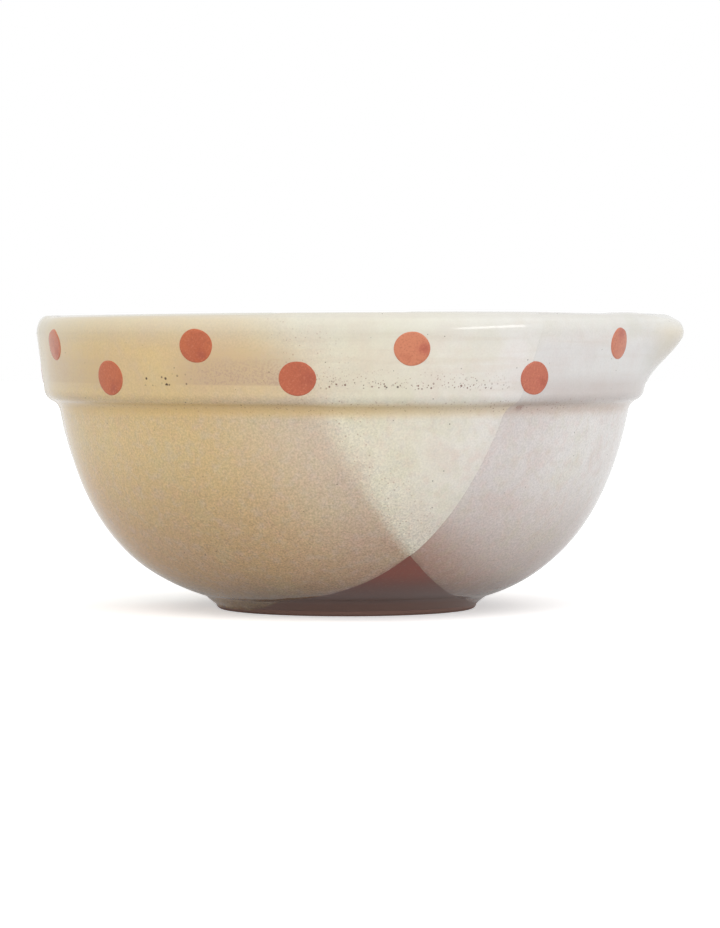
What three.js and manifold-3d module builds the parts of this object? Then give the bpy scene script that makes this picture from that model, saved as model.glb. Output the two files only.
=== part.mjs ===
// Hand-thrown earthenware condiment bowl: a round wall on a low turned foot, a broad
// collar, and a pouring lip pulled out of the rim. Three dips in cream slip overlap
// around it, fifteen clay-red dots zig-zag round the collar, and the red clay stays
// bare at the foot, and on the floor inside, where no dip reached.
//
// Millimetres, +Z up. The lip points to +X and the foot stands on Z = 0.

import * as THREE from "three";
import { mergeVertices } from "three/addons/utils/BufferGeometryUtils.js";
import Module from "manifold-3d";

const wasm = await Module();
wasm.setup();

// Foot: a turned ring with a shallow recess inside it.
const FOOT_HEIGHT = 3.3;
const FOOT_BASE_RADIUS = 29.6;
const FOOT_FLARE = 2.3;
const FOOT_EDGE = 1.1;
const FOOT_RING_WIDTH = 6.0;
const RECESS_DEPTH = 2.0;
const RECESS_EDGE = 1.2;

// Wall: one sweeping curve. Each pull is how far the curve holds the direction it
// leaves its end in, out and up from the foot and down from the groove.
const WALL_TOP_RADIUS = 64.0;
const FOOT_PULL_OUT = 19.6;
const FOOT_PULL_UP = 5.8;
const GROOVE_PULL_IN = 3.7;
const GROOVE_PULL_DOWN = 20.3;

// Collar: a thick band that overhangs the wall and leans out a little towards the rim.
// Its face ends at a ledge, turns in round the edge, and runs through the groove into
// the wall.
const COLLAR_OVERHANG = 3.55;
const COLLAR_LEAN = 1.7;
const COLLAR_DEPTH = 16.4;
const COLLAR_EDGE = 2.6;
const GROOVE_RADIUS = 3.4;

// Rim, rounded off deeper than it is wide on the outside, and inside of the bowl.
const RIM_HEIGHT = 66.5;
const RIM_THICKNESS = 6.0;
const RIM_OUTER_EDGE = 1.8;
const RIM_OUTER_DROP = 3.4;
const RIM_INNER_EDGE = 2.4;
const FLOOR_THICKNESS = 5.0;
const FLOOR_RADIUS = 20.0;
const INNER_PULL_IN = 2.5;
const INNER_PULL_DOWN = 34.0;
const FLOOR_PULL_OUT = 24.0;

// Pouring lip: rises out of the foot of the collar, reaches its full width just below
// the rim, and droops from the rim's inner edge to its outer one.
const LIP_REACH = 7.7;
const LIP_DROOP = 2.1;
const LIP_HALF_ANGLE = THREE.MathUtils.degToRad(21);
const LIP_DEPTH = 17.2;
const LIP_FULL_BELOW_RIM = 0.5;

// Slip coats. Each dip meets the bath's surface in one plane, or in more where the bowl
// was rolled in the bath: the azimuth that went in deepest, the tilt of the plane, and
// how far the plane stops short of the foot's upper edge, or runs past it if negative.
const COAT_THICKNESS = 0.35;
const LAYER_GAP = 0.15;
const FOOT_WIPED = 1.2;
const DIPS = [
  { name: "right_slip_coat", colour: "#d0c8c0", planes: [{ azimuth: -12.5, tilt: 25.9, short: -1.6 }] },
  { name: "back_slip_coat", colour: "#d3c7b0", planes: [{ azimuth: 108.0, tilt: 22.0, short: -0.9 }] },
  {
    name: "left_slip_coat",
    colour: "#c9b68f",
    planes: [
      { azimuth: -128.3, tilt: 15.7, short: 1.1 },
      { azimuth: -145.0, tilt: 20.0, short: -3.9 },
      { azimuth: -170.0, tilt: 21.0, short: -3.9 },
    ],
  },
];

// Dots: dabbed on by eye, in turn on an upper and a lower row. Degrees from the lip.
const DOT_WIDTH = 8.0;
const DOT_HEIGHT = 7.3;
const DOT_THICKNESS = 0.55;
const UPPER_ROW_BELOW_RIM = 6.3;
const LOWER_ROW_ABOVE_LEDGE = 3.2;
const DOT_AZIMUTHS = [
  30, 55, 79, 101, 121.5, 142, 161.5, 179.5, 202.0, 222, 242.8, 261.7, 282, 306.8, 330.5,
];

// Facets: steps round the bowl, crowded towards the lip, and steps along each curve.
const TURN_STEPS = 44;
const LIP_CROWDING = 0.4;
const ARC_STEPS = 3;
const CURVE_STEPS = 7;
const DOT_SIDES = 18;

const FOOT_TOP_RADIUS = FOOT_BASE_RADIUS + FOOT_FLARE;
const COLLAR_BASE_RADIUS = WALL_TOP_RADIUS + COLLAR_OVERHANG;
const COLLAR_TOP_RADIUS = COLLAR_BASE_RADIUS + COLLAR_LEAN;
const LEDGE_HEIGHT = RIM_HEIGHT - COLLAR_DEPTH;
const WALL_LEAN = Math.atan2(GROOVE_PULL_IN, GROOVE_PULL_DOWN);
const GROOVE_TURN = GROOVE_RADIUS + COLLAR_EDGE;
const GROOVE_TURN_OUT = GROOVE_RADIUS * Math.cos(WALL_LEAN) + COLLAR_EDGE - COLLAR_OVERHANG;
const GROOVE_LEAN = Math.acos(GROOVE_TURN_OUT / GROOVE_TURN);
const FLOOR_HEIGHT = RECESS_DEPTH + FLOOR_THICKNESS;
const RIM_INNER_RADIUS = COLLAR_TOP_RADIUS - RIM_THICKNESS;
const LAYER_STEP = LAYER_GAP + COAT_THICKNESS;
const BATH_SIZE = 8 * COLLAR_TOP_RADIUS;

// Half section of the underside, from the recess's middle to the ring's inner edge.
function recessSection() {
  const ringInner = FOOT_BASE_RADIUS - FOOT_RING_WIDTH;
  const path = new THREE.Path();
  path.moveTo(0, RECESS_DEPTH);
  path.lineTo(ringInner - RECESS_EDGE, RECESS_DEPTH);
  path.lineTo(ringInner, 0);
  return path;
}

// Half section of the rest: from the ring's outer edge up the foot and the wall, round
// the groove and the collar, over the rim, and down the inside to the floor's middle.
function bowlSection() {
  const grooveX = WALL_TOP_RADIUS + GROOVE_RADIUS * Math.cos(WALL_LEAN);
  const grooveZ = LEDGE_HEIGHT - GROOVE_TURN * Math.sin(GROOVE_LEAN);
  const wallTop = grooveZ + GROOVE_RADIUS * Math.sin(WALL_LEAN);
  const innerTop = RIM_HEIGHT - RIM_INNER_EDGE;
  const path = new THREE.Path();
  path.moveTo(FOOT_BASE_RADIUS - FOOT_EDGE, 0);
  path.absarc(FOOT_BASE_RADIUS - FOOT_EDGE, FOOT_EDGE, FOOT_EDGE, -Math.PI / 2, 0);
  path.lineTo(FOOT_TOP_RADIUS, FOOT_HEIGHT);
  path.bezierCurveTo(
    FOOT_TOP_RADIUS + FOOT_PULL_OUT,
    FOOT_HEIGHT + FOOT_PULL_UP,
    WALL_TOP_RADIUS - GROOVE_PULL_IN,
    wallTop - GROOVE_PULL_DOWN,
    WALL_TOP_RADIUS,
    wallTop,
  );
  path.absarc(grooveX, grooveZ, GROOVE_RADIUS, Math.PI - WALL_LEAN, Math.PI - GROOVE_LEAN, true);
  path.absarc(COLLAR_BASE_RADIUS - COLLAR_EDGE, LEDGE_HEIGHT, COLLAR_EDGE, -GROOVE_LEAN, 0);
  path.absellipse(
    COLLAR_TOP_RADIUS - RIM_OUTER_EDGE,
    RIM_HEIGHT - RIM_OUTER_DROP,
    RIM_OUTER_EDGE,
    RIM_OUTER_DROP,
    0,
    Math.PI / 2,
  );
  path.absarc(RIM_INNER_RADIUS + RIM_INNER_EDGE, innerTop, RIM_INNER_EDGE, Math.PI / 2, Math.PI);
  path.bezierCurveTo(
    RIM_INNER_RADIUS - INNER_PULL_IN,
    innerTop - INNER_PULL_DOWN,
    FLOOR_RADIUS + FLOOR_PULL_OUT,
    FLOOR_HEIGHT,
    FLOOR_RADIUS,
    FLOOR_HEIGHT,
  );
  path.lineTo(0, FLOOR_HEIGHT);
  return path;
}

// Points along a path, with no point twice.
function sample(path) {
  const steps = { EllipseCurve: ARC_STEPS, CubicBezierCurve: CURVE_STEPS, LineCurve: 1 };
  const points = path.curves.flatMap((curve) => curve.getPoints(steps[curve.type]));
  return points.filter((point, i) => i === 0 || point.distanceTo(points[i - 1]) > 1e-6);
}

// The same points moved off the clay by a distance, square to the surface.
function grow(points, distance) {
  const normals = points.slice(1).map((point, i) => {
    const along = point.clone().sub(points[i]).normalize();
    return new THREE.Vector2(along.y, -along.x);
  });
  return points.map((point, i) => {
    const before = normals[Math.max(i - 1, 0)];
    const after = normals[Math.min(i, normals.length - 1)];
    const mitre = before.clone().add(after).divideScalar(1 + before.dot(after));
    return point.clone().addScaledVector(mitre, distance);
  });
}

// Pulls the rim outwards and a little down around +X, and gathers the facets there.
function pullLip(geometry) {
  const startHeight = RIM_HEIGHT - LIP_DEPTH;
  const fullHeight = RIM_HEIGHT - LIP_FULL_BELOW_RIM;
  const vertex = new THREE.Vector3();
  const position = geometry.getAttribute("position");
  for (let i = 0; i < position.count; i += 1) {
    vertex.fromBufferAttribute(position, i);
    const turned = Math.atan2(vertex.y, vertex.x);
    const turnedRadius = Math.hypot(vertex.x, vertex.y);
    const azimuth = turned - LIP_CROWDING * Math.sin(turned);
    const across = Math.min(Math.abs(azimuth) / LIP_HALF_ANGLE, 1);
    const upward = THREE.MathUtils.smoothstep(vertex.z, startHeight, fullHeight);
    const outward = THREE.MathUtils.smoothstep(turnedRadius, RIM_INNER_RADIUS, COLLAR_TOP_RADIUS);
    const pull = Math.cos((across * Math.PI) / 2) ** 2 * upward;
    const radius = turnedRadius + LIP_REACH * pull;
    const height = vertex.z - LIP_DROOP * pull * outward;
    position.setXYZ(i, radius * Math.cos(azimuth), radius * Math.sin(azimuth), height);
  }
  return geometry;
}

function solid(geometry) {
  geometry.deleteAttribute("normal");
  geometry.deleteAttribute("uv");
  const merged = mergeVertices(geometry, 1e-5);
  const mesh = new wasm.Mesh({
    numProp: 3,
    vertProperties: new Float32Array(merged.getAttribute("position").array),
    triVerts: new Uint32Array(merged.getIndex().array),
  });
  return new wasm.Manifold(mesh);
}

// A half section turned about the bowl's axis, with the lip pulled out of it.
function turn(points) {
  const geometry = new THREE.LatheGeometry(points, TURN_STEPS);
  geometry.rotateX(Math.PI / 2);
  return solid(pullLip(geometry));
}

const outline = sample(bowlSection());

function clayBody() {
  return turn([...sample(recessSection()), ...outline]);
}

// The bowl made thicker all over, inside and outside, and closed under the foot.
function grownBowl(margin) {
  return turn([new THREE.Vector2(0, -margin), ...grow(outline, margin)]);
}

// All that the slip covers in one dip, made deeper by a margin. The foot's edge is
// wiped clean afterwards.
function bath(dip, margin) {
  const unwiped = new THREE.BoxGeometry(BATH_SIZE, BATH_SIZE, BATH_SIZE);
  unwiped.translate(0, 0, FOOT_WIPED - margin + BATH_SIZE / 2);
  const blocks = dip.planes.map(({ azimuth, tilt, short }) => {
    const block = new THREE.BoxGeometry(BATH_SIZE, BATH_SIZE, BATH_SIZE);
    block.translate(short - margin + BATH_SIZE / 2, 0, 0);
    block.rotateY(-THREE.MathUtils.degToRad(tilt));
    block.translate(FOOT_TOP_RADIUS, 0, FOOT_HEIGHT);
    block.rotateZ(THREE.MathUtils.degToRad(azimuth));
    return solid(block);
  });
  return blocks.reduce((whole, block) => whole.add(block)).intersect(solid(unwiped));
}

// The bowl with all that the first so many dips laid on it, grown by a margin.
function laid(dips, margin) {
  if (dips === 0) {
    return grownBowl(margin);
  }
  const raised = laid(dips - 1, LAYER_STEP + margin).intersect(bath(DIPS[dips - 1], margin));
  return laid(dips - 1, margin).add(raised);
}

// One coat follows the clay and steps up over the coats that were there before it.
function slipCoat(index) {
  const layer = laid(index, LAYER_STEP).subtract(laid(index, LAYER_GAP));
  return layer.intersect(bath(DIPS[index], 0));
}

const dotSkin = laid(DIPS.length, LAYER_GAP + DOT_THICKNESS);
const dotLayer = dotSkin.subtract(laid(DIPS.length, LAYER_GAP));

function rimDot(index) {
  const isUpper = index % 2 === 0;
  const height = isUpper ? RIM_HEIGHT - UPPER_ROW_BELOW_RIM : LEDGE_HEIGHT + LOWER_ROW_ABOVE_LEDGE;
  const peg = new THREE.CylinderGeometry(0.5, 0.5, RIM_THICKNESS, DOT_SIDES);
  peg.scale(DOT_WIDTH, 1, DOT_HEIGHT);
  peg.rotateZ(Math.PI / 2);
  peg.translate(COLLAR_TOP_RADIUS, 0, height);
  peg.rotateZ(THREE.MathUtils.degToRad(DOT_AZIMUTHS[index]));
  return dotLayer.intersect(solid(peg));
}

function piece(name, body, colour, roughness) {
  const { vertProperties, triVerts } = body.getMesh();
  const geometry = new THREE.BufferGeometry();
  geometry.setAttribute("position", new THREE.BufferAttribute(vertProperties, 3));
  geometry.setIndex(new THREE.BufferAttribute(triVerts, 1));
  const look = { color: colour, roughness, metalness: 0, flatShading: true };
  const mesh = new THREE.Mesh(geometry, new THREE.MeshStandardMaterial(look));
  mesh.name = name;
  return mesh;
}

// The turned bowl stands off the origin by half the lip's reach, so that the origin is
// the middle of what it covers on the table.
const bowl = new THREE.Group();
bowl.position.x = -LIP_REACH / 2;
bowl.add(piece("clay_body", clayBody(), "#6e4a40", 0.35));
DIPS.forEach(({ name, colour }, index) => {
  bowl.add(piece(name, slipCoat(index), colour, 0.25));
});
DOT_AZIMUTHS.forEach((azimuth, index) => {
  const number = String(index + 1).padStart(2, "0");
  bowl.add(piece(`rim_dot_${number}`, rimDot(index), "#bd7059", 0.25));
});

const part = new THREE.Group();
part.add(bowl);

export default part;
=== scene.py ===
import math
from types import SimpleNamespace

import bpy
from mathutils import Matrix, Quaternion, Vector, noise


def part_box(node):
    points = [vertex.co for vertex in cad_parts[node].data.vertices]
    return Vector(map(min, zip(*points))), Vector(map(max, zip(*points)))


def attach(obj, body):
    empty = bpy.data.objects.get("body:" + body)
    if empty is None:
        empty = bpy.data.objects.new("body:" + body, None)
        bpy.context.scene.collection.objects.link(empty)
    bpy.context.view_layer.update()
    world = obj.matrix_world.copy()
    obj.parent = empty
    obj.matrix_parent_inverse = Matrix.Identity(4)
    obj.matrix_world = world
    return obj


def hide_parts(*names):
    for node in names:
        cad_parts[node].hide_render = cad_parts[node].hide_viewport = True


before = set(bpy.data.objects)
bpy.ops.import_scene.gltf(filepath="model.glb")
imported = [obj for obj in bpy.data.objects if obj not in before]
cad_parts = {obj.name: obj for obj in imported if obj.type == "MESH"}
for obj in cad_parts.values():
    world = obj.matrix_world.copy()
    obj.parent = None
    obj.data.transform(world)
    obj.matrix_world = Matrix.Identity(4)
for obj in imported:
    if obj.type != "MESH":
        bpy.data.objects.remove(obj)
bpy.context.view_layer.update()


# Clay bowl. One piece of red earthenware, thrown on the wheel: a low turned foot, one
# sweeping wall, a groove, a broad collar and a rim, with a pouring lip pulled out of
# the rim by finger. Most of it is under slip; the foot and the floor inside stay bare.

MM = 0.001
FOOT_HEIGHT, FOOT_BASE_RADIUS, FOOT_FLARE, FOOT_EDGE = 3.3, 29.6, 2.3, 1.1
FOOT_RING_WIDTH, RECESS_DEPTH, RECESS_EDGE = 6.0, 2.0, 1.2
FOOT_TOP_RADIUS = FOOT_BASE_RADIUS + FOOT_FLARE
RIM_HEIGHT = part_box("clay_body")[1][2] / MM
WALL_TOP_RADIUS, COLLAR_OVERHANG, COLLAR_LEAN = 64.0, 3.55, 1.7
COLLAR_DEPTH, COLLAR_EDGE, GROOVE_RADIUS = 16.4, 2.6, 3.4
COLLAR_BASE_RADIUS = WALL_TOP_RADIUS + COLLAR_OVERHANG
COLLAR_TOP_RADIUS = COLLAR_BASE_RADIUS + COLLAR_LEAN
LEDGE_HEIGHT = RIM_HEIGHT - COLLAR_DEPTH
RIM_THICKNESS, RIM_OUTER_EDGE, RIM_OUTER_DROP, RIM_INNER_EDGE = 6.0, 1.8, 3.4, 2.4
RIM_INNER_RADIUS = COLLAR_TOP_RADIUS - RIM_THICKNESS
FLOOR_HEIGHT, FLOOR_RADIUS = 7.0, 20.0
WALL_FROM_FOOT, WALL_TO_GROOVE = Vector((19.6, 5.8)), Vector((3.7, 20.3))
INSIDE_FROM_RIM, INSIDE_TO_FLOOR = Vector((-2.5, -34.0)), Vector((24.0, 0.0))
LIP_REACH, LIP_DROOP, LIP_HALF_ANGLE = 7.7, 2.1, math.radians(21)
AXIS_X = -LIP_REACH / 2
TURN_STEPS, SEAM_MERGE = 180, 0.002


def arc(centre, width, height, start, end, steps):
    """Points round an oval's centre, from one angle to another in degrees."""
    angles = [math.radians(start + (end - start) * i / steps) for i in range(steps + 1)]
    return [centre + Vector((width * math.cos(a), height * math.sin(a))) for a in angles]


def sweep(a, b, c, d, steps):
    """Points on a curve that leaves a towards b and comes from c into d."""
    points = []
    for i in range(steps + 1):
        t = i / steps
        points.append((1 - t) ** 3 * a + 3 * (1 - t) ** 2 * t * b + 3 * (1 - t) * t**2 * c + t**3 * d)
    return points


def stretch(a, b, steps):
    """Points on a straight line."""
    return [a.lerp(b, i / steps) for i in range(steps + 1)]


def bowl_section():
    """The half section as a run of points, from the foot's edge over the rim to the middle of the floor."""
    wall_lean = math.atan2(*WALL_TO_GROOVE)
    turn_out = GROOVE_RADIUS * math.cos(wall_lean) + COLLAR_EDGE - COLLAR_OVERHANG
    groove_lean = math.acos(turn_out / (GROOVE_RADIUS + COLLAR_EDGE))
    groove_drop = (GROOVE_RADIUS + COLLAR_EDGE) * math.sin(groove_lean)
    groove = Vector((WALL_TOP_RADIUS + GROOVE_RADIUS * math.cos(wall_lean), LEDGE_HEIGHT - groove_drop))
    groove_turn = 180 - math.degrees(wall_lean), 180 - math.degrees(groove_lean)
    foot_edge = Vector((FOOT_BASE_RADIUS - FOOT_EDGE, FOOT_EDGE))
    foot_top = Vector((FOOT_TOP_RADIUS, FOOT_HEIGHT))
    wall_top = Vector((WALL_TOP_RADIUS, groove.y + GROOVE_RADIUS * math.sin(wall_lean)))
    ledge = Vector((COLLAR_BASE_RADIUS - COLLAR_EDGE, LEDGE_HEIGHT))
    rim = Vector((COLLAR_TOP_RADIUS - RIM_OUTER_EDGE, RIM_HEIGHT - RIM_OUTER_DROP))
    inner_rim = Vector((RIM_INNER_RADIUS + RIM_INNER_EDGE, RIM_HEIGHT - RIM_INNER_EDGE))
    inner_wall = Vector((RIM_INNER_RADIUS, RIM_HEIGHT - RIM_INNER_EDGE))
    floor_edge = Vector((FLOOR_RADIUS, FLOOR_HEIGHT))
    runs = [
        arc(foot_edge, FOOT_EDGE, FOOT_EDGE, -90, 0, 6),
        stretch(Vector((FOOT_BASE_RADIUS, FOOT_EDGE)), foot_top, 3),
        sweep(foot_top, foot_top + WALL_FROM_FOOT, wall_top - WALL_TO_GROOVE, wall_top, 36),
        arc(groove, GROOVE_RADIUS, GROOVE_RADIUS, *groove_turn, 8),
        arc(ledge, COLLAR_EDGE, COLLAR_EDGE, -math.degrees(groove_lean), 0, 7),
        stretch(Vector((COLLAR_BASE_RADIUS, ledge.y)), Vector((COLLAR_TOP_RADIUS, rim.y)), 12),
        arc(rim, RIM_OUTER_EDGE, RIM_OUTER_DROP, 0, 90, 10),
        arc(inner_rim, RIM_INNER_EDGE, RIM_INNER_EDGE, 90, 180, 8),
        sweep(inner_wall, inner_wall + INSIDE_FROM_RIM, floor_edge + INSIDE_TO_FLOOR, floor_edge, 40),
        stretch(floor_edge, Vector((0.0, FLOOR_HEIGHT)), 10),
    ]
    points = [p for run in runs for p in run]
    return [p for i, p in enumerate(points) if i == 0 or (p - points[i - 1]).length > 1e-4]


def grow(points, distance):
    """The same section, moved out square to itself by a distance."""
    sides = [(b - a).normalized() for a, b in zip(points, points[1:])]
    normals = [Vector((s.y, -s.x)) for s in sides]
    grown = []
    for i, p in enumerate(points):
        before, after = normals[max(i - 1, 0)], normals[min(i, len(normals) - 1)]
        grown.append(p + distance * (before + after) / (1 + before.dot(after)))
    return grown


def edit(obj):
    """Opens one piece alone in edit mode, with all of it selected."""
    bpy.ops.object.mode_set(mode="OBJECT")
    bpy.ops.object.select_all(action="DESELECT")
    bpy.context.view_layer.objects.active = obj
    obj.select_set(True)
    bpy.ops.object.mode_set(mode="EDIT")
    bpy.ops.mesh.select_all(action="SELECT")


def throw(name, section):
    """Draws the half section point by point from one corner and spins it about the turning axis."""
    route = [Vector((AXIS_X + p.x, 0, p.y)) * MM for p in section]
    bpy.ops.object.select_all(action="DESELECT")
    bpy.ops.mesh.primitive_plane_add(size=MM)
    bowl = bpy.context.object
    bowl.name = bowl.data.name = name
    edit(bowl)
    bpy.ops.mesh.merge(type="CENTER")
    bpy.ops.transform.translate(value=route[0])
    for here, there in zip(route, route[1:]):
        bpy.ops.mesh.extrude_region_move(TRANSFORM_OT_translate={"value": there - here})
    bpy.ops.mesh.select_all(action="SELECT")
    bpy.ops.mesh.spin(steps=TURN_STEPS, angle=math.tau, center=(AXIS_X * MM, 0, 0), axis=(0, 0, 1))
    bpy.ops.mesh.select_all(action="SELECT")
    bpy.ops.mesh.remove_doubles(threshold=SEAM_MERGE * MM)
    bpy.ops.mesh.normals_make_consistent(inside=False)
    bpy.ops.object.mode_set(mode="OBJECT")
    return bowl


LIP_START, LIP_FULL = RIM_HEIGHT - 17.2, RIM_HEIGHT - 0.5
LIP_RAISED, LIP_SHOULDER = 0.36, [math.radians(a) for a in (-34, -25, 2, 14)]
RIM_SETTLE, RIM_WAVES = -0.19, ((0.36, 1, -2), (0.21, 2, 86))
RIM_SAG, RIM_SAG_AT, RIM_SAG_WIDTH = 0.3, math.radians(28), math.radians(16)
THROWN_LEAN, LEAN_FROM = 0.25, 20
FOOT_ASIDE, ASIDE_ENDS, ASIDE_FULL = 0.55, 12, 3


def rise(value, low, high):
    """0 where the value is low, 1 where it is high, smooth between."""
    t = min(max((value - low) / (high - low), 0), 1)
    return t * t * (3 - 2 * t)


def rim_level(azimuth, height):
    """How far the rim of a hand-thrown bowl stands over its true level, fading out down the collar."""
    wave = sum(size * math.cos(count * (azimuth - math.radians(crest))) for size, count, crest in RIM_WAVES)
    sag = RIM_SAG * math.exp(-(((azimuth - RIM_SAG_AT) / RIM_SAG_WIDTH) ** 2))
    return (RIM_SETTLE + wave - sag) * rise(height, LEDGE_HEIGHT, RIM_HEIGHT)


def pull_lip(bowl):
    """Pulls the lip out of the rim and leaves the bowl as true as a hand leaves it."""
    for vertex in bowl.data.vertices:
        x, y, z = vertex.co.x / MM - AXIS_X, vertex.co.y / MM, vertex.co.z / MM
        azimuth, radius = math.atan2(y, x), math.hypot(x, y)
        across = min(abs(azimuth) / LIP_HALF_ANGLE, 1)
        pull = math.cos(across * math.pi / 2) ** 2 * rise(z, LIP_START, LIP_FULL)
        droop = LIP_DROOP * pull * rise(radius, RIM_INNER_RADIUS, COLLAR_TOP_RADIUS)
        lean = THROWN_LEAN * rise(z, LEAN_FROM, LEDGE_HEIGHT) + FOOT_ASIDE * rise(z, ASIDE_ENDS, ASIDE_FULL)
        start, full, ending, gone = LIP_SHOULDER
        shoulder = rise(azimuth, start, full) * rise(azimuth, gone, ending)
        raised = LIP_RAISED * shoulder * rise(z, LEDGE_HEIGHT, RIM_HEIGHT)
        level = rim_level(azimuth, z) * (1 - pull) + raised
        radius += LIP_REACH * pull
        place = (AXIS_X + lean + radius * math.cos(azimuth), radius * math.sin(azimuth))
        vertex.co = Vector((*place, z + level - droop)) * MM


CLAY_CREASE = math.radians(35)
section = bowl_section()
ring_inner = FOOT_BASE_RADIUS - FOOT_RING_WIDTH
recess_edge = Vector((ring_inner - RECESS_EDGE, RECESS_DEPTH))
recess = [Vector((0, RECESS_DEPTH)), recess_edge, Vector((ring_inner, 0))]
clay = throw("clay_bowl", recess + section)
pull_lip(clay)
edit(clay)
bpy.ops.object.mode_set(mode="OBJECT")
bpy.ops.object.shade_smooth_by_angle(angle=CLAY_CREASE)


def linear(hex_colour):
    """An sRGB colour in hex as the linear values that Blender takes."""
    parts = [int(hex_colour[i : i + 2], 16) / 255 for i in (1, 3, 5)]
    return tuple(c / 12.92 if c <= 0.04045 else ((c + 0.055) / 1.055) ** 2.4 for c in parts) + (1.0,)


def add(tree, kind, links, **settings):
    """Adds one node with its settings; each link is an input and the value or the socket that feeds it."""
    node = tree.nodes.new(kind)
    for name, value in settings.items():
        setattr(node, name, value)
    for name, value in links.items():
        if isinstance(value, bpy.types.NodeSocket):
            tree.links.new(value, node.inputs[name])
        else:
            node.inputs[name].default_value = value
    return node


def start_material(name):
    """A new material, its tree, and the place on the bowl in millimetres from the foot's centre."""
    material = bpy.data.materials.new(name)
    material.use_nodes = True
    tree = material.node_tree
    tree.nodes.clear()
    place = add(tree, "ShaderNodeTexCoord", {}).outputs["Object"]
    centred = add(tree, "ShaderNodeVectorMath", {0: place, 1: (AXIS_X * MM, 0, 0)}, operation="SUBTRACT")
    links = {0: centred.outputs[0], "Scale": 1 / MM}
    millimetres = add(tree, "ShaderNodeVectorMath", links, operation="SCALE").outputs[0]
    return material, tree, millimetres


def faded(tree, share, *fades):
    """A share that fades by each of some measures: a measure, where the share is gone, where it is full."""
    for measure, gone, full in fades:
        links = {"Value": measure, "From Min": gone, "From Max": full, "To Max": share}
        share = add(tree, "ShaderNodeMapRange", links, interpolation_type="SMOOTHSTEP").outputs[0]
    return share


def lay(tree, base, tone, share, *fades):
    """Lays a tone over the colours so far, by a share that fades."""
    links = {0: faded(tree, share, *fades), 6: base, 7: linear(tone)}
    return add(tree, "ShaderNodeMix", links, data_type="RGBA").outputs[2]


# Fired red clay under clear glaze: dark, a little blotchy, with fine grog, redder higher up and greyer
# towards the foot.
# The ring it stands on is wiped, so it is dry; the same dry tone lightens the band where the foot meets the
# wall as painted light.
CLAY_RED, CLAY_DARK, CLAY_GREYED, CLAY_DRY_AND_PAINTED_LIGHT = "#894839", "#714539", "#6a4f47", "#8c6d61"
CLAY_BLOTCH_MM, CLAY_GROG_MM, GREYED_HEIGHT, WIPED_HEIGHT = 9.0, 0.55, 10.0, 0.9
CLAY_ROUGH, CLAY_DRY_ROUGH, CLAY_GRIT, GLAZE_IOR, SKIN_DEPTH = 0.32, 0.85, 0.12, 1.5, 0.05 * MM


def glazed_clay():
    material, tree, place = start_material("glazed_red_earthenware")
    height = add(tree, "ShaderNodeSeparateXYZ", {0: place}).outputs[2]
    links = {"Vector": place, "Scale": 1 / CLAY_BLOTCH_MM, "Detail": 3.0}
    blotch = add(tree, "ShaderNodeTexNoise", links).outputs[0]
    links = {"Vector": place, "Scale": 1 / CLAY_GROG_MM, "Detail": 1.0}
    grog = add(tree, "ShaderNodeTexNoise", links).outputs[0]
    dry = faded(tree, 1.0, (height, WIPED_HEIGHT, 0.3))
    colour = lay(tree, linear(CLAY_DARK), CLAY_RED, 1.0, (height, 6.0, 11.5))
    colour = lay(tree, colour, CLAY_DARK, 0.4, (blotch, 0.4, 0.66))
    colour = lay(tree, colour, CLAY_GREYED, 0.75, (height, GREYED_HEIGHT, 2.0))
    colour = lay(tree, colour, CLAY_DRY_AND_PAINTED_LIGHT, 0.25, (grog, 0.55, 0.75))
    # Painted light: the dry tone also lightens the band where the foot meets the wall, against the shade of
    # that crease.
    colour = lay(tree, colour, CLAY_DRY_AND_PAINTED_LIGHT, 0.58, (height, 4.4, 2.9))
    colour = lay(tree, colour, CLAY_DRY_AND_PAINTED_LIGHT, dry)
    links = {"Value": dry, "To Min": CLAY_ROUGH, "To Max": CLAY_DRY_ROUGH}
    rough = add(tree, "ShaderNodeMapRange", links).outputs[0]
    links = {"Height": grog, "Strength": CLAY_GRIT, "Distance": SKIN_DEPTH}
    grain = add(tree, "ShaderNodeBump", links).outputs[0]
    surface = {"Base Color": colour, "Roughness": rough, "Normal": grain, "IOR": GLAZE_IOR}
    shader = add(tree, "ShaderNodeBsdfPrincipled", surface)
    add(tree, "ShaderNodeOutputMaterial", {"Surface": shader.outputs[0]})
    return material


clay.data.materials.append(glazed_clay())
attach(clay, "root")
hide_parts("clay_body")


# Slip coats. Thin cream clay, taken up in three dips from three sides, inside and out,
# each ending in a straight tide line. Where two dips overlap the slip hides the red clay
# and looks cream; one alone lets it show through. A clear gloss glaze covers them all.

COAT_CLEARANCE, COAT_THICKNESS, COAT_STEP = 0.03, 0.3, 0.34
STEP_STARTS, STEP_ENDS = -1.5, 2.0
FEATHER_STARTS, FEATHER_ENDS, FEATHER_THINNEST = -0.2, 2.5, 0.06
COAT_CREASE = math.radians(60)
# A plane for each time the bowl was rolled in the bath: the azimuth that went in deepest,
# the plane's tilt, and how far it stops short of the foot's upper edge.
RIGHT_DIP = ((-12.5, 25.9, -1.6),)
BACK_DIP = ((108.0, 22.0, -0.9),)
LEFT_DIP = ((-128.4, 14.4, 0.1), (-145.0, 20.0, -3.9), (-170.0, 21.0, -3.9))


def tide_plane(azimuth, tilt, short):
    """The bath's surface: its direction into the slip, and how far along that it lies, in millimetres."""
    a, t = math.radians(azimuth), math.radians(tilt)
    into = Vector((math.cos(t) * math.cos(a), math.cos(t) * math.sin(a), math.sin(t)))
    foot_edge = Vector((FOOT_TOP_RADIUS * math.cos(a), FOOT_TOP_RADIUS * math.sin(a), FOOT_HEIGHT))
    return into, into.dot(foot_edge) + short


def depth(point, dip):
    """How deep a point of the bowl went into the bath, in millimetres."""
    local = point / MM - Vector((AXIS_X, 0, 0))
    return max(into.dot(local) - distance for into, distance in (tide_plane(*plane) for plane in dip))


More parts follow.
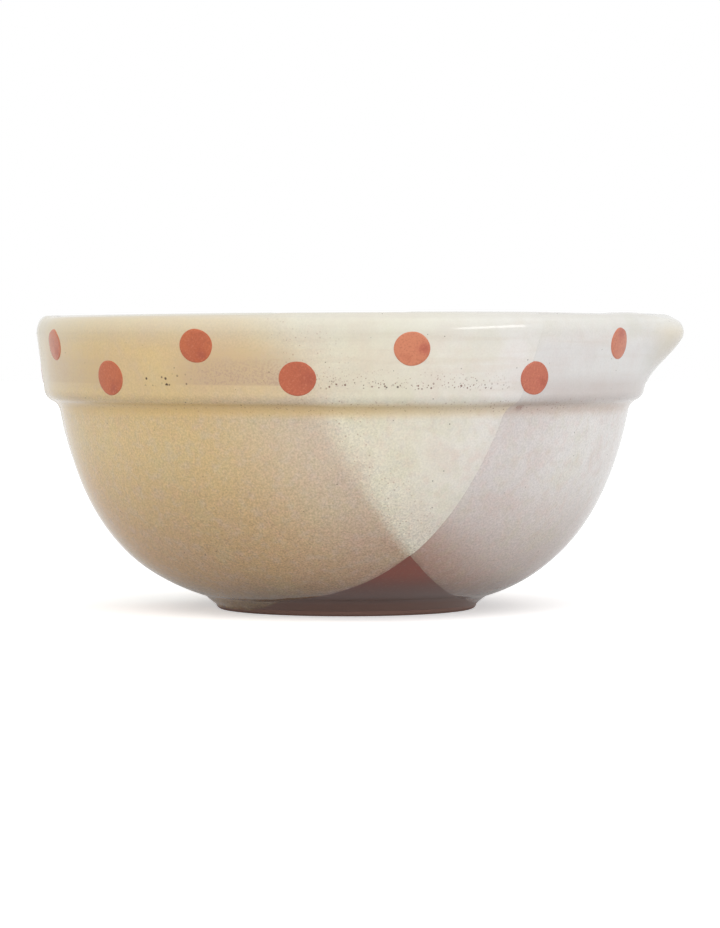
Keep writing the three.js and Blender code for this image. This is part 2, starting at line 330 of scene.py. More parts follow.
def dip_coat(name, dip, under):
    """The bowl's form grown a little, cut at the tide lines, stepped over other coats and given a wall."""
    coat = throw(name, grow(section, COAT_CLEARANCE))
    pull_lip(coat)
    edit(coat)
    rim_face = max(coat.data.polygons, key=lambda face: face.center.z)
    if rim_face.normal.z < 0:
        bpy.ops.mesh.flip_normals()
    for plane in dip:
        into, distance = tide_plane(*plane)
        bpy.ops.mesh.select_all(action="SELECT")
        bpy.ops.mesh.bisect(plane_co=(into * distance + Vector((AXIS_X, 0, 0))) * MM, plane_no=into)
    bpy.ops.mesh.select_all(action="SELECT")
    bpy.ops.mesh.bisect(plane_co=(0, 0, WIPED_HEIGHT * MM), plane_no=(0, 0, 1))
    bpy.ops.mesh.select_mode(type="FACE")
    bpy.ops.mesh.select_all(action="DESELECT")
    bpy.ops.object.mode_set(mode="OBJECT")
    for face in coat.data.polygons:
        face.select = depth(face.center, dip) < 0 or face.center.z < WIPED_HEIGHT * MM
    bpy.ops.object.mode_set(mode="EDIT")
    bpy.ops.mesh.delete(type="FACE")
    bpy.ops.mesh.select_mode(type="VERT")
    bpy.ops.object.mode_set(mode="OBJECT")
    feather = coat.vertex_groups.new(name="feather")
    lifted = []
    for vertex in coat.data.vertices:
        lift = sum(COAT_STEP * rise(depth(vertex.co, other), STEP_STARTS, STEP_ENDS) for other in under)
        lifted.append(vertex.co + vertex.normal * lift * MM)
        body = rise(depth(vertex.co, dip), FEATHER_STARTS, FEATHER_ENDS)
        feather.add([vertex.index], body, "REPLACE")
    for vertex, place in zip(coat.data.vertices, lifted):
        vertex.co = place
    wall = coat.modifiers.new("wall", "SOLIDIFY")
    wall.thickness, wall.offset = COAT_THICKNESS * MM, 1.0
    wall.vertex_group, wall.thickness_vertex_group = feather.name, FEATHER_THINNEST
    edit(coat)
    bpy.ops.object.mode_set(mode="OBJECT")
    bpy.ops.object.modifier_apply(modifier=wall.name)
    bpy.ops.object.shade_smooth_by_angle(angle=COAT_CREASE)
    return coat


# Slip under glaze: eggshell mottle and fine grain; straw or grey where one coat lies thin
# on the red clay, mauve towards the next tide line, brown by its own, cream where two lie.
# Iron specks gather along the throwing line on the collar and amber glaze in the groove.
# Some of this is painted light and shade. These are painted shade in whole or part: browner lower down and
# on faces turned down, dark at the foot, grey under the collar's edge, brown in the groove, and a dark line
# along the rim's crest. These are painted light: straw on the left flank, pale at the collar's left end, a
# sheen over the rim, and a lighter lip.
MOTTLE_MM, CLOUD_MM, GRAIN_MM, SPRAY_MM, RIPPLE_MM = 11.0, 2.2, 0.42, 0.6, 6.0
IRON_MM, DUST_MM, FINE_MM = 1.2, 0.65, 0.45
RING_LENGTH_MM, RING_SPACING_MM = 25.0, 1.25
CLAY_THROUGH, CLAY_BENEATH, FOOT_SHADE_AND_THIN_SLIP = "#a27257", "#8a5a4c", "#4a4234"
STRAW_SIDE_LIGHT, PATCH_TAN, THIN_PATCH = "#d8a35c", "#a58a66", (-28.0, -53.0, 31.0)
TWO_COATS, TWO_COATS_RIGHT, OVERLAP_GRIT, DRAINED_GRIT = "#e2dbc5", "#e6e2df", 0.07, 1.8
OVERLAP_SOFT, OVERLAP_SWAY, COLLAR_EDGE_TINT = (1.8, 4.2, 9.0), 1.6, 0.35
MOTTLE_PINK, MOTTLE_GREEN, RING_TAN = "#c9a79a", "#c8c39a", "#c4a98c"
CLOUD_TONES, CLOUD_SHARE, COLLAR_CALM = ("#d8a79a", "#b9b78a", "#c3c2c6"), 0.12, 0.45
COLLAR_SHADE, COLLAR_LEFT_SHEEN, COLLAR_ASH = "#8c8072", "#ece0c4", "#d1d3d3"
RIM_SHEEN, RIM_CREST_SHADE, LIP_CREAM_AND_LIGHT = "#cdcfc5", "#bfbcb6", "#e6d9bd"
LEDGE_SHADE, GROOVE_POOL_AND_SHADE, HAZE = "#b3a19b", "#987a5e", "#b3927f"
IRON, RUST, SPECK, RUST_SPOT = "#3f2a20", "#8a4c3a", "#6b4134", (37.7, -52.9, 47.1)
THROWING_LINE, GLAZE_ROUGH, RIPPLE_STRENGTH = (51.0, 51.8), 0.1, 0.2


def bath_depth(tree, place, dip):
    """How deep a place went into the bath, in millimetres, as a socket."""
    deepest = None
    for plane in dip:
        into, distance = tide_plane(*plane)
        along = add(tree, "ShaderNodeVectorMath", {0: place, 1: into}, operation="DOT_PRODUCT")
        links = {0: along.outputs["Value"], 1: distance}
        level = add(tree, "ShaderNodeMath", links, operation="SUBTRACT").outputs[0]
        if deepest:
            level = add(tree, "ShaderNodeMath", {0: deepest, 1: level}, operation="MAXIMUM").outputs[0]
        deepest = level
    return deepest


def within(measure, start, full, ending, gone):
    """The two fades of a band: in from its start, and out to where it is gone."""
    return (measure, start, full), (measure, gone, ending)


def flecks(tree, place, cell_mm, size, cells_filled, strength):
    """Round flecks of many sizes, one to a cell, in a share of the cells."""
    cells = add(tree, "ShaderNodeTexVoronoi", {"Vector": place, "Scale": 1 / cell_mm})
    filled, sized, _ = add(tree, "ShaderNodeSeparateColor", {0: cells.outputs["Color"]}).outputs
    links = {"Value": sized, "To Min": 0.4 * size, "To Max": size}
    own_size = add(tree, "ShaderNodeMapRange", links).outputs[0]
    links = {0: cells.outputs["Distance"], 1: own_size}
    inside = add(tree, "ShaderNodeMath", links, operation="DIVIDE").outputs[0]
    return faded(tree, strength, (inside, 1.0, 0.6), (filled, 1 - cells_filled, 1.02 - cells_filled))


def slip_measures(tree, place):
    """What the slip's tones go by: a point's place and part of the bowl, the way it faces, and its grain."""
    at = SimpleNamespace(place=place)
    at.across, at.back, at.height = add(tree, "ShaderNodeSeparateXYZ", {0: place}).outputs
    flat = add(tree, "ShaderNodeVectorMath", {0: place, 1: (1, 1, 0)}, operation="MULTIPLY").outputs[0]
    radius = add(tree, "ShaderNodeVectorMath", {0: flat}, operation="LENGTH").outputs["Value"]
    normal = add(tree, "ShaderNodeNewGeometry", {}).outputs["Normal"]
    _, at.facing_back, at.facing_up = add(tree, "ShaderNodeSeparateXYZ", {0: normal}).outputs
    links = {"Vector": place, "Scale": 1 / GRAIN_MM, "Detail": 2.0}
    at.grain = add(tree, "ShaderNodeTexNoise", links).outputs[0]
    at.outside = (radius, 62.9, 63.5)
    at.front = (at.back, -10.0, -20.0)
    at.collar = ((at.height, 47.0, 51.0), at.outside)
    at.on_collar = faded(tree, 1.0, *at.collar)
    return at


def one_coat(tree, at, own, beyond, thin, by_edge, drained_and_shaded, veil):
    """A coat by itself: red clay shows through where the slip ran off, lies thin or ends; browner lower down
    and on faces turned down, and darker towards the foot, both partly painted shade; straw on the left flank
    as painted warm light.
    """
    links = {"Value": at.on_collar, "To Min": 1.0, "To Max": COLLAR_EDGE_TINT}
    edge_share = add(tree, "ShaderNodeMapRange", links).outputs[0]
    colour = lay(tree, linear(thin), by_edge, edge_share, (bath_depth(tree, at.place, beyond), -30.0, -1.0))
    # Painted shade in part: browner lower down and on faces turned down, where the slip also ran thin.
    colour = lay(tree, colour, CLAY_THROUGH, 0.5, *drained_and_shaded)
    own_depth = bath_depth(tree, at.place, own)
    colour = lay(tree, colour, CLAY_THROUGH, veil, (own_depth, 16.0, 0.0))
    colour = lay(tree, colour, CLAY_BENEATH, 0.5, (own_depth, 1.3, 0.0))
    # Painted shade: dark olive towards the foot, where the slip also ran thin.
    colour = lay(tree, colour, FOOT_SHADE_AND_THIN_SLIP, 0.45, (at.height, 11.0, 2.0))
    links = {0: at.place, 1: THIN_PATCH}
    from_patch = add(tree, "ShaderNodeVectorMath", links, operation="DISTANCE").outputs["Value"]
    colour = lay(tree, colour, PATCH_TAN, 0.2, (from_patch, 30.0, 6.0))
    # Painted warm light: straw on the left flank where it turns away from the front.
    left_flank = ((at.facing_back, -0.6, -0.25), (at.across, -15.0, -30.0), (at.height, 40.0, 26.0))
    return lay(tree, colour, STRAW_SIDE_LIGHT, 0.45, *left_flank)


def over_other_coats(tree, at, colour, under, drained_and_shaded, grit):
    """Cream and finer in grain where this coat lies on others, from a soft edge with clay dust in it."""
    low_soft, high_soft, collar_soft = OVERLAP_SOFT
    links = {"Value": at.height, "From Min": 18.0, "From Max": 46.0, "To Min": low_soft, "To Max": high_soft}
    wall_soft = add(tree, "ShaderNodeMapRange", links).outputs[0]
    links = {"Value": at.on_collar, "To Min": wall_soft, "To Max": collar_soft}
    soft = add(tree, "ShaderNodeMapRange", links).outputs[0]
    links = {"Vector": at.place, "Scale": 1 / SPRAY_MM, "Detail": 2.0}
    spray = add(tree, "ShaderNodeTexNoise", links).outputs[0]
    links = {"Value": spray, "To Min": -OVERLAP_SWAY, "To Max": OVERLAP_SWAY}
    sway = add(tree, "ShaderNodeMapRange", links).outputs[0]
    thick = lay(tree, linear(TWO_COATS), TWO_COATS_RIGHT, 1.0, (at.across, 0.0, 45.0))
    links = {"Value": faded(tree, 1.0, *drained_and_shaded), "To Min": grit, "To Max": DRAINED_GRIT * grit}
    grit_here = add(tree, "ShaderNodeMapRange", links).outputs[0]
    for other in under:
        depth_there = bath_depth(tree, at.place, other)
        swayed = add(tree, "ShaderNodeMath", {0: depth_there, 1: sway}, operation="ADD").outputs[0]
        eased = add(tree, "ShaderNodeMath", {0: swayed, 1: soft}, operation="DIVIDE").outputs[0]
        links = {0: faded(tree, 1.0, (eased, -1.0, 1.0)), 6: colour, 7: thick}
        colour = add(tree, "ShaderNodeMix", links, data_type="RGBA").outputs[2]
        links = {"Value": depth_there, "From Max": 16.0, "To Min": grit_here, "To Max": OVERLAP_GRIT}
        grit_here = add(tree, "ShaderNodeMapRange", links, interpolation_type="SMOOTHSTEP").outputs[0]
        dust = flecks(tree, at.place, DUST_MM, 0.36, 0.4, 0.5)
        colour = lay(tree, colour, CLAY_THROUGH, dust, *within(depth_there, -4.0, 0.0, 3.0, 16.0))
    return colour, grit_here


def speckled(tree, at, colour, grit):
    """Mottle, clouds and grain, calmer on the collar, where faint rings of the throwing show."""
    links = {"Vector": at.place, "Scale": 1 / MOTTLE_MM, "Detail": 3.0}
    mottle = add(tree, "ShaderNodeTexNoise", links).outputs[0]
    colour = lay(tree, colour, MOTTLE_PINK, 0.17, (mottle, 0.45, 0.7))
    colour = lay(tree, colour, MOTTLE_GREEN, 0.16, (mottle, 0.48, 0.3))
    ring_scale = (1 / RING_LENGTH_MM, 1 / RING_LENGTH_MM, 1 / RING_SPACING_MM)
    drawn = add(tree, "ShaderNodeVectorMath", {0: at.place, 1: ring_scale}, operation="MULTIPLY").outputs[0]
    rings = add(tree, "ShaderNodeTexNoise", {"Vector": drawn, "Scale": 1.0, "Detail": 2.0}).outputs[0]
    colour = lay(tree, colour, RING_TAN, 0.11, (rings, 0.48, 0.7), *at.collar)
    cloudy = add(tree, "ShaderNodeTexNoise", {"Vector": at.place, "Scale": 1 / CLOUD_MM, "Detail": 4.0})
    clouds = add(tree, "ShaderNodeSeparateColor", {0: cloudy.outputs["Color"]}).outputs
    links = {"Value": at.on_collar, "To Min": 1.0, "To Max": COLLAR_CALM}
    calm = add(tree, "ShaderNodeMapRange", links).outputs[0]
    cloud_share = add(tree, "ShaderNodeMath", {0: calm, 1: CLOUD_SHARE}, operation="MULTIPLY").outputs[0]
    for tone, cloud in zip(CLOUD_TONES, clouds):
        colour = lay(tree, colour, tone, cloud_share, (cloud, 0.46, 0.7))
    grit = add(tree, "ShaderNodeMath", {0: grit, 1: calm}, operation="MULTIPLY").outputs[0]
    darkest = add(tree, "ShaderNodeMath", {0: 1.0, 1: grit}, operation="SUBTRACT").outputs[0]
    lightest = add(tree, "ShaderNodeMath", {0: 1.0, 1: grit}, operation="ADD").outputs[0]
    links = {"Value": at.grain, "From Min": 0.27, "From Max": 0.73, "To Min": darkest, "To Max": lightest}
    grained = add(tree, "ShaderNodeMapRange", links).outputs[0]
    return add(tree, "ShaderNodeVectorMath", {0: colour, "Scale": grained}, operation="SCALE").outputs[0]


def collar_and_rim(tree, at, colour, ashen):
    """A collar a little darker below in painted shade, pale at its left end as a painted sheen and ashen
    under one coat, and a rim with a painted sheen over its top and painted shade along its crest.
    """
    colour = lay(tree, colour, COLLAR_SHADE, 0.08, (at.height, 59.0, 51.0), *at.collar)
    # Painted sheen: the collar paler at its left end.
    colour = lay(tree, colour, COLLAR_LEFT_SHEEN, 0.3, (at.across, -52.0, -66.0), *at.collar)
    colour = lay(tree, colour, COLLAR_ASH, ashen, (at.height, 61.9, 59.2), *at.collar)
    # Painted sheen: the top of the rim tinted greyer and cooler, as the pale surround would show on it.
    colour = lay(tree, colour, RIM_SHEEN, 0.45, (at.height, RIM_HEIGHT - 8.0, RIM_HEIGHT))
    # Painted shade: a darker line along the rim's crest.
    return lay(tree, colour, RIM_CREST_SHADE, 0.34, (at.height, RIM_HEIGHT - 1.0, RIM_HEIGHT))


def groove_and_lip(tree, at, colour, pool):
    """Amber glaze pooled in the groove, brown and gritty towards the right with the brown partly painted
    shade, grey painted shade under the collar's edge on the right, and a creamier lip that is partly painted
    light.
    """
    links = {"Value": at.across, "From Min": -5.0, "From Max": 28.0, "To Min": 0.62, "To Max": 0.36}
    pool_share = add(tree, "ShaderNodeMapRange", links, interpolation_type="SMOOTHSTEP").outputs[0]
    pooled = within(at.height, 43.9, 46.3, 46.9, 48.4)
    colour = lay(tree, colour, pool, pool_share, *pooled, at.outside)
    ledge = within(at.height, 46.6, 48.4, 50.0, 55.0)
    # Painted shade: grey under the collar's rounded edge on the right.
    colour = lay(tree, colour, LEDGE_SHADE, 0.4, *ledge, at.outside, (at.across, 34.0, 48.0))
    to_right = within(at.across, 26.0, 36.0, 42.0, 56.0)
    deepest = within(at.height, 46.7, 47.3, 47.7, 48.3)
    # Partly painted shade: brown along the deepest groove towards the right, partly pooled glaze.
    colour = lay(tree, colour, GROOVE_POOL_AND_SHADE, 0.22, *deepest, at.outside, at.front, *to_right)
    links = {"Value": faded(tree, 1.0, *to_right), "To Min": 0.35, "To Max": 0.6}
    grit_share = add(tree, "ShaderNodeMapRange", links).outputs[0]
    grit = flecks(tree, at.place, DUST_MM, 0.4, 0.6, grit_share)
    caught = within(at.height, 44.4, 46.8, 48.0, 48.9)
    colour = lay(tree, colour, RUST, grit, *caught, at.outside, at.front)
    links = {0: at.place, 1: RUST_SPOT}
    from_spot = add(tree, "ShaderNodeVectorMath", links, operation="DISTANCE").outputs["Value"]
    colour = lay(tree, colour, RUST, 0.45, (from_spot, 1.7, 0.2))
    lip = ((at.across, 67.0, 74.0), *within(at.height, 52.0, 56.0, 62.5, 65.5))
    # Partly painted light: the lip creamier and lighter, partly its own cream tint.
    return lay(tree, colour, LIP_CREAM_AND_LIGHT, 0.5, *lip)


def throwing_line(tree, at, colour):
    """Brown haze and iron specks along a line that climbs to the left, and a few specks strewn anywhere."""
    low, high = THROWING_LINE
    links = {"Value": at.across, "From Min": 35.0, "From Max": -25.0, "To Min": low, "To Max": high}
    line = add(tree, "ShaderNodeMapRange", links, interpolation_type="SMOOTHSTEP").outputs[0]
    above = add(tree, "ShaderNodeMath", {0: at.height, 1: line}, operation="SUBTRACT").outputs[0]
    left = faded(tree, 1.0, *within(at.across, -40.0, -27.0, -15.0, -6.0))
    far_left = faded(tree, 0.5, *within(at.across, -69.0, -65.0, -58.0, -46.0))
    haze_at = add(tree, "ShaderNodeMath", {0: left, 1: far_left}, operation="ADD").outputs[0]
    links = {"Value": at.grain, "From Min": 0.38, "From Max": 0.66, "To Min": 0.2, "To Max": 0.7}
    haze_grain = add(tree, "ShaderNodeMapRange", links, interpolation_type="SMOOTHSTEP").outputs[0]
    haze = add(tree, "ShaderNodeMath", {0: haze_at, 1: haze_grain}, operation="MULTIPLY").outputs[0]
    colour = lay(tree, colour, HAZE, haze, *within(above, -0.3, 0.2, 2.0, 9.5), at.outside, at.front)
    middle, left_end = (-12.0, -6.0, 28.0, 39.5), (-44.0, -42.5, -34.0, -31.5)
    # Tone and strength; cell, size and share of cells filled; heights over the line and stretch across.
    specks = (
        (RUST, 0.5, FINE_MM, 0.45, 0.4, (-0.3, 0.4, 1.8, 4.5), middle),
        (SPECK, 0.85, DUST_MM, 0.5, 0.6, (-0.6, 0.0, 0.5, 1.7), middle),
        (IRON, 1.0, IRON_MM, 0.42, 0.9, (-0.5, 0.0, 0.8, 2.8), left_end),
        (IRON, 0.8, IRON_MM, 0.3, 0.4, (-0.5, 0.0, 0.8, 2.8), middle),
    )
    for tone, strength, cell_mm, size, cells_filled, heights, columns in specks:
        spots = flecks(tree, at.place, cell_mm, size, cells_filled, strength)
        strip = (*within(above, *heights), *within(at.across, *columns), at.outside, at.front)
        colour = lay(tree, colour, tone, spots, *strip)
    return lay(tree, colour, IRON, flecks(tree, at.place, IRON_MM, 0.2, 0.07, 0.6))


def glazed_slip(name, own, under, beyond, thin, by_edge, pool, drain_and_shade_from, veil, grit, ashen):
    material, tree, place = start_material(name)
    at = slip_measures(tree, place)
    # This mask grows lower down and on faces turned down: slip run thin there, and painted shade.
    drained_and_shaded = ((at.height, drain_and_shade_from, 4.0), (at.facing_up, 0.1, -0.2))
    colour = one_coat(tree, at, own, beyond, thin, by_edge, drained_and_shaded, veil)
    colour, grit_here = over_other_coats(tree, at, colour, under, drained_and_shaded, grit)
    colour = speckled(tree, at, colour, grit_here)
    colour = collar_and_rim(tree, at, colour, ashen)
    colour = groove_and_lip(tree, at, colour, pool)
    colour = throwing_line(tree, at, colour)
    links = {"Vector": place, "Scale": 1 / RIPPLE_MM, "Detail": 1.0}
    ripple = add(tree, "ShaderNodeTexNoise", links).outputs[0]
    links = {"Height": ripple, "Strength": RIPPLE_STRENGTH, "Distance": SKIN_DEPTH}
    skin = add(tree, "ShaderNodeBump", links).outputs[0]
    surface = {"Base Color": colour, "Roughness": GLAZE_ROUGH, "Normal": skin, "IOR": GLAZE_IOR}
    shader = add(tree, "ShaderNodeBsdfPrincipled", surface)
    add(tree, "ShaderNodeOutputMaterial", {"Surface": shader.outputs[0]})
    return material


coats = (
    ("right", RIGHT_DIP, (), LEFT_DIP,
     {"thin": "#e6e2df", "by_edge": "#d6cfcc", "pool": "#caa688",
      "drain_and_shade_from": 36.0, "veil": 0.65, "grit": 0.11, "ashen": 0.35}),
    ("back", BACK_DIP, (RIGHT_DIP,), LEFT_DIP,
     {"thin": "#d8cab0", "by_edge": "#cdbda8", "pool": "#d6ba8c",
      "drain_and_shade_from": 40.0, "veil": 0.3, "grit": 0.14, "ashen": 0.0}),
    ("left", LEFT_DIP, (RIGHT_DIP, BACK_DIP), RIGHT_DIP,
     {"thin": "#dfc28b", "by_edge": "#d0bea7", "pool": "#e6c27c",
      "drain_and_shade_from": 43.0, "veil": 0.22, "grit": 0.16, "ashen": 0.0}),
)
for side, dip, under, beyond, finish in coats:
    coat = dip_coat(side + "_dip", dip, under)
    coat.data.materials.append(glazed_slip(side + "_slip_under_glaze", dip, under, beyond, **finish))
    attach(coat, "root")
    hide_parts(side + "_slip_coat")


# Dots. Fifteen dabs of clay-red slip, put on by eye in a zig-zag round the collar, on
# top of the cream slip and under the glaze. Each is a little domed and not quite round.

DOT_WIDTH, DOT_HEIGHT, DOT_DOME, DOT_EDGE, DOT_SUNK = 8.0, 7.3, 0.12, 0.04, 0.1
DOT_CORNERS, DOT_INSETS, DOT_SHOULDER = 64, (0.04, 0.06, 0.1, 0.2, 0.24), 0.98
DOT_WOBBLE, WOBBLE_APART, SLIP_UNDER_DOT = 0.04, 7.3, (-1.5, 2.5)
DROP_OUT, DROP_WIDTH, DROP_BODY = 0.66, 0.3, 0.7
UPPER_ROW, LOWER_ROW = RIM_HEIGHT - 6.3, LEDGE_HEIGHT + 3.2
DOT_AZIMUTHS = (30, 55, 79, 101, 121.5, 142, 161.5, 179.5, 202.0, 222, 242.8, 261.7, 282, 306.8, 330.5)
DOT_SIZES = (1.0, 0.97, 1.03, 1.0, 0.98, 1.02, 1.0, 1.0, 1.0, 1.09, 1.02, 1.04, 1.01, 1.0, 0.96)
DOT_BODY = (0.4, 0.6, 0.3, 0.5, 0.7, 0.4, 0.6, 0.5, 0.3, 0.55, 0.55, 0.8, 0.15, 0.5, 0.3)
DOT_DROP = (-40, -10, -60, 20, -30, -75, 0, -20, -50, -70, -60, 5, 0, -20, 80)
DOT_RAISED = (0.1, -0.1, 0.2, 0.0, -0.2, 0.1, 0.0, 0.1, 0.2, -0.2, 0.0, -0.1, -0.7, -0.2, 0.2)
ALL_DIPS = (RIGHT_DIP, BACK_DIP, LEFT_DIP)


def collar_radius(height):
    """How far the bare clay of the collar reaches out at a height, with its rounded lower edge."""
    face_low, face_high = LEDGE_HEIGHT, RIM_HEIGHT - RIM_OUTER_DROP
    if height < face_low:
        turned_in = math.sqrt(max(COLLAR_EDGE**2 - (face_low - height) ** 2, 0))
        return COLLAR_BASE_RADIUS - COLLAR_EDGE + turned_in
    return COLLAR_BASE_RADIUS + COLLAR_LEAN * min((height - face_low) / (face_high - face_low), 1)


def on_collar(azimuth, height, lift):
    """A point of the dotted collar: out from the slip's surface there by the lift."""
    bare = collar_radius(height)
    direction = Vector((math.cos(azimuth), math.sin(azimuth), 0))
    spot = (direction * bare + Vector((AXIS_X, 0, height))) * MM
    slip = sum(COAT_STEP * rise(depth(spot, dip), *SLIP_UNDER_DOT) for dip in ALL_DIPS)
    centre = Vector((AXIS_X + THROWN_LEAN, 0, height + rim_level(azimuth, height)))
    return (direction * (bare + slip + lift) + centre) * MM


def dab(index, azimuth, height):
    """A disc drawn flat, inset to round its edge, and laid on the collar."""
    bpy.ops.object.select_all(action="DESELECT")
    bpy.ops.mesh.primitive_circle_add(vertices=DOT_CORNERS, radius=1, fill_type="NGON")
    dot = bpy.context.object
    dot.name = dot.data.name = f"dot_{index + 1:02d}"
    edit(dot)
    for step in DOT_INSETS:
        bpy.ops.mesh.inset(thickness=step)
    bpy.ops.mesh.poke()
    bpy.ops.object.mode_set(mode="OBJECT")
    drop_at = math.radians(DOT_DROP[index])
    drop = Vector((math.cos(drop_at), math.sin(drop_at))) * DROP_OUT
    body = dot.data.attributes.new("slip_body", "FLOAT", "POINT")
    for vertex, slip in zip(dot.data.vertices, body.data):
        off_drop = (vertex.co.xy - drop).length
        slip.value = DOT_BODY[index] + DROP_BODY * math.exp(-((off_drop / DROP_WIDTH) ** 2))
        across, up = vertex.co.x * DOT_WIDTH / 2, vertex.co.y * DOT_HEIGHT / 2
        bearing, reach = math.atan2(up, across), min(vertex.co.xy.length, 1)
        round_dot = Vector((math.cos(bearing), math.sin(bearing), WOBBLE_APART * index))
        size = DOT_SIZES[index] + DOT_WOBBLE * noise.noise(round_dot)
        lift = DOT_EDGE + DOT_DOME * math.sqrt(1 - reach**2) if reach < DOT_SHOULDER else -DOT_SUNK
        vertex.co = on_collar(azimuth + across * size / COLLAR_TOP_RADIUS, height + up * size, lift)
    edit(dot)
    bpy.ops.mesh.normals_make_consistent(inside=False)
    bpy.ops.object.mode_set(mode="OBJECT")
    wall = dot.modifiers.new("wall", "SOLIDIFY")
    wall.thickness, wall.offset = DOT_SUNK * MM, -1.0
    bpy.ops.object.modifier_apply(modifier=wall.name)
    bpy.ops.object.shade_smooth_by_angle(angle=COAT_CREASE)
    return dot


# Red slip under glaze: terracotta, paler and pinker where a dab has little body and lets
# the cream through, and deep red in the drop that the brush left as it lifted.
DOT_RED, DOT_PINK, DOT_DEEP, DOT_PALE, DOT_GRAIN = "#c2633a", "#bb6550", "#a9503a", "#d88b66", "#8f4a36"
DOT_BLOT_MM, DOT_ROUGH = 5.0, 0.18


def red_slip():
    material, tree, place = start_material("red_slip_under_gloss_glaze")
    body = add(tree, "ShaderNodeAttribute", {}, attribute_name="slip_body").outputs["Fac"]
    links = {"Vector": place, "Scale": 1 / DOT_BLOT_MM, "Detail": 2.0}
    blot = add(tree, "ShaderNodeTexNoise", links).outputs[0]
    links = {"Vector": place, "Scale": 1 / GRAIN_MM, "Detail": 2.0}
    grain = add(tree, "ShaderNodeTexNoise", links).outputs[0]
    across = add(tree, "ShaderNodeSeparateXYZ", {0: place}).outputs[0]
    colour = lay(tree, linear(DOT_RED), DOT_PINK, 1.0, (across, -35.0, 25.0))
    colour = lay(tree, colour, DOT_PALE, 1.0, (body, 0.7, -0.2))
    colour = lay(tree, colour, DOT_DEEP, 0.6, (body, 0.6, 1.2))
    colour = lay(tree, colour, DOT_DEEP, 0.25, (blot, 0.5, 0.66))
    colour = lay(tree, colour, DOT_GRAIN, 0.3, (grain, 0.5, 0.75))
    colour = lay(tree, colour, DOT_PALE, 0.3, (grain, 0.48, 0.28))
    surface = {"Base Color": colour, "Roughness": DOT_ROUGH, "IOR": GLAZE_IOR}
    shader = add(tree, "ShaderNodeBsdfPrincipled", surface)
    add(tree, "ShaderNodeOutputMaterial", {"Surface": shader.outputs[0]})
    return material


dot_finish = red_slip()
for index, azimuth in enumerate(DOT_AZIMUTHS):
    row = LOWER_ROW if index % 2 else UPPER_ROW
    dot = dab(index, math.radians(azimuth), row + DOT_RAISED[index])
    dot.data.materials.append(dot_finish)
    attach(dot, "root")
    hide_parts(f"rim_dot_{index + 1:02d}")


# Studio. A pale floor and a white surround, a window to the right of the camera, a broad
# soft light overhead, and the camera about a metre away at the height of the rim.

FLOOR_SIZE = 6.0
bpy.ops.object.select_all(action="DESELECT")
bpy.ops.mesh.primitive_plane_add(size=FLOOR_SIZE)
floor = bpy.context.object
floor.name = floor.data.name = "studio_floor"


def shown(tree, mirrored):
    """1 to the camera, a share of that to what the glaze mirrors, 0 to light that falls on the bowl."""
    path = add(tree, "ShaderNodeLightPath", {}).outputs
    links = {0: path["Is Glossy Ray"], 1: mirrored}
    glossy = add(tree, "ShaderNodeMath", links, operation="MULTIPLY").outputs[0]
    links = {0: glossy, 1: path["Is Camera Ray"]}
    return add(tree, "ShaderNodeMath", links, operation="MAXIMUM").outputs[0]


FLOOR_WHITE, FLOOR_BOUNCE, FLOOR_GLOW, FLOOR_MIRRORED = 0.93, 0.5, 0.45, 0.5
WHITE = linear("#ffffff")
paint = bpy.data.materials.new("pale_studio_paint")
paint.use_nodes = True
tree = paint.node_tree
tree.nodes.clear()
floor_shown = shown(tree, FLOOR_MIRRORED)
links = {"Value": floor_shown, "To Min": FLOOR_BOUNCE, "To Max": FLOOR_WHITE}
pale = add(tree, "ShaderNodeMapRange", links).outputs[0]
matt = add(tree, "ShaderNodeBsdfDiffuse", {"Color": pale})
strength = add(tree, "ShaderNodeMath", {0: floor_shown, 1: FLOOR_GLOW}, operation="MULTIPLY").outputs[0]
glow = add(tree, "ShaderNodeEmission", {"Color": WHITE, "Strength": strength})
both = add(tree, "ShaderNodeAddShader", {0: matt.outputs[0], 1: glow.outputs[0]})
add(tree, "ShaderNodeOutputMaterial", {"Surface": both.outputs[0]})
floor.data.materials.append(paint)

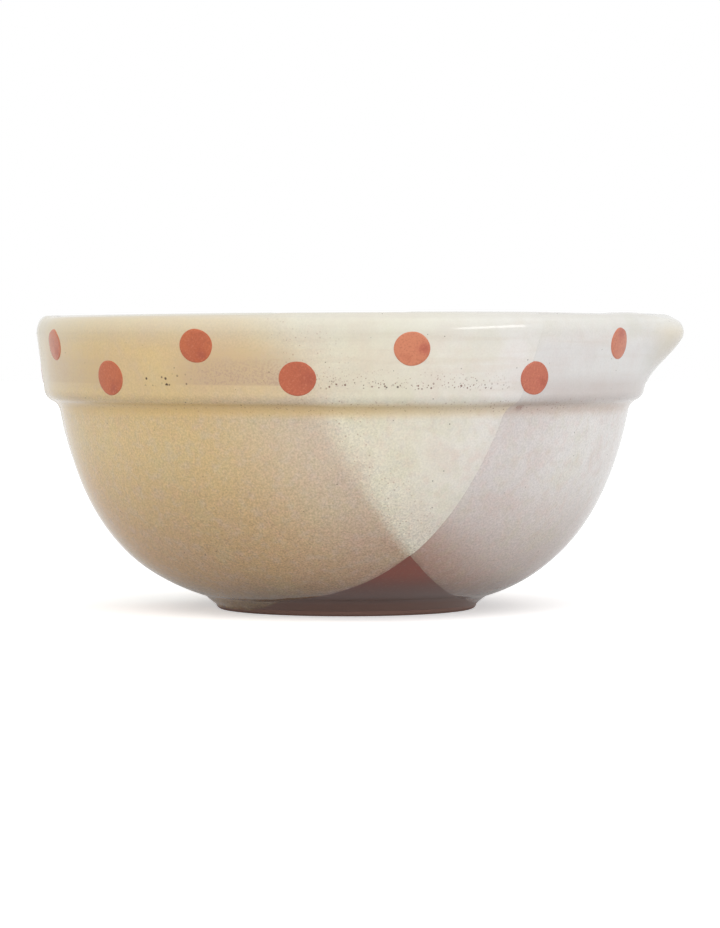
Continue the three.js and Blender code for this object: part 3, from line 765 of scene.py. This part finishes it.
ROOM_DARK, ROOM_LIGHT, ROOM_MIRRORED, ROOM_LIGHT_FROM = 0.15, 1.69, 0.9, (0.12, -0.96, 0.18)
world = bpy.data.worlds.new("white_surround")
bpy.context.scene.world = world
world.use_nodes = True
tree = world.node_tree
tree.nodes.clear()
way = add(tree, "ShaderNodeTexCoord", {}).outputs["Generated"]
toward = add(tree, "ShaderNodeVectorMath", {0: way, 1: ROOM_LIGHT_FROM}, operation="DOT_PRODUCT")
links = {"Value": toward.outputs["Value"], "From Min": -1, "To Min": ROOM_DARK, "To Max": ROOM_LIGHT}
room = add(tree, "ShaderNodeMapRange", links).outputs[0]
links = {"Value": shown(tree, ROOM_MIRRORED), "To Min": room, "To Max": 1.0}
level = add(tree, "ShaderNodeMapRange", links).outputs[0]
sky = add(tree, "ShaderNodeBackground", {"Color": WHITE, "Strength": level})
add(tree, "ShaderNodeOutputWorld", {"Surface": sky.outputs[0]})


def lamp(name, place, aim, roll, size, watts, colour):
    """A soft oblong light, aimed at a point and rolled by some degrees about its beam."""
    bpy.ops.object.light_add(type="AREA", location=place)
    light = bpy.context.object
    light.name = light.data.name = name
    light.data.shape = "RECTANGLE"
    light.data.size, light.data.size_y = size
    light.data.energy = watts
    light.data.color = linear(colour)[:3]
    facing = (Vector(aim) - Vector(place)).to_track_quat("-Z", "Y")
    light.rotation_euler = (facing @ Quaternion((0, 0, 1), math.radians(roll))).to_euler()


lamp("window", (0.76, -0.55, 0.26), (0.03, -0.06, 0.064), 14, (0.5, 0.1), 0.75, "#ffffff")
lamp("overhead", (-0.1, -0.1, 1.1), (0, 0, 0.04), 0, (1.0, 1.0), 0.5, "#fffaf2")

CAMERA_AWAY, CAMERA_X, CAMERA_HEIGHT, CAMERA_DIP = 0.9773, -0.0002, 0.068, 2.07
PHOTO_HEIGHT_PX, FOCAL_PX, SENSOR = 928, 4300, 36.0
camera = bpy.data.objects.new("camera", bpy.data.cameras.new("camera"))
bpy.context.collection.objects.link(camera)
camera.location = (CAMERA_X, -CAMERA_AWAY, CAMERA_HEIGHT)
camera.rotation_euler = (math.radians(90 - CAMERA_DIP), 0, 0)
camera.data.sensor_width = SENSOR
camera.data.lens = SENSOR * FOCAL_PX / PHOTO_HEIGHT_PX
bpy.context.scene.camera = camera
bpy.context.scene.view_settings.view_transform = "Standard"
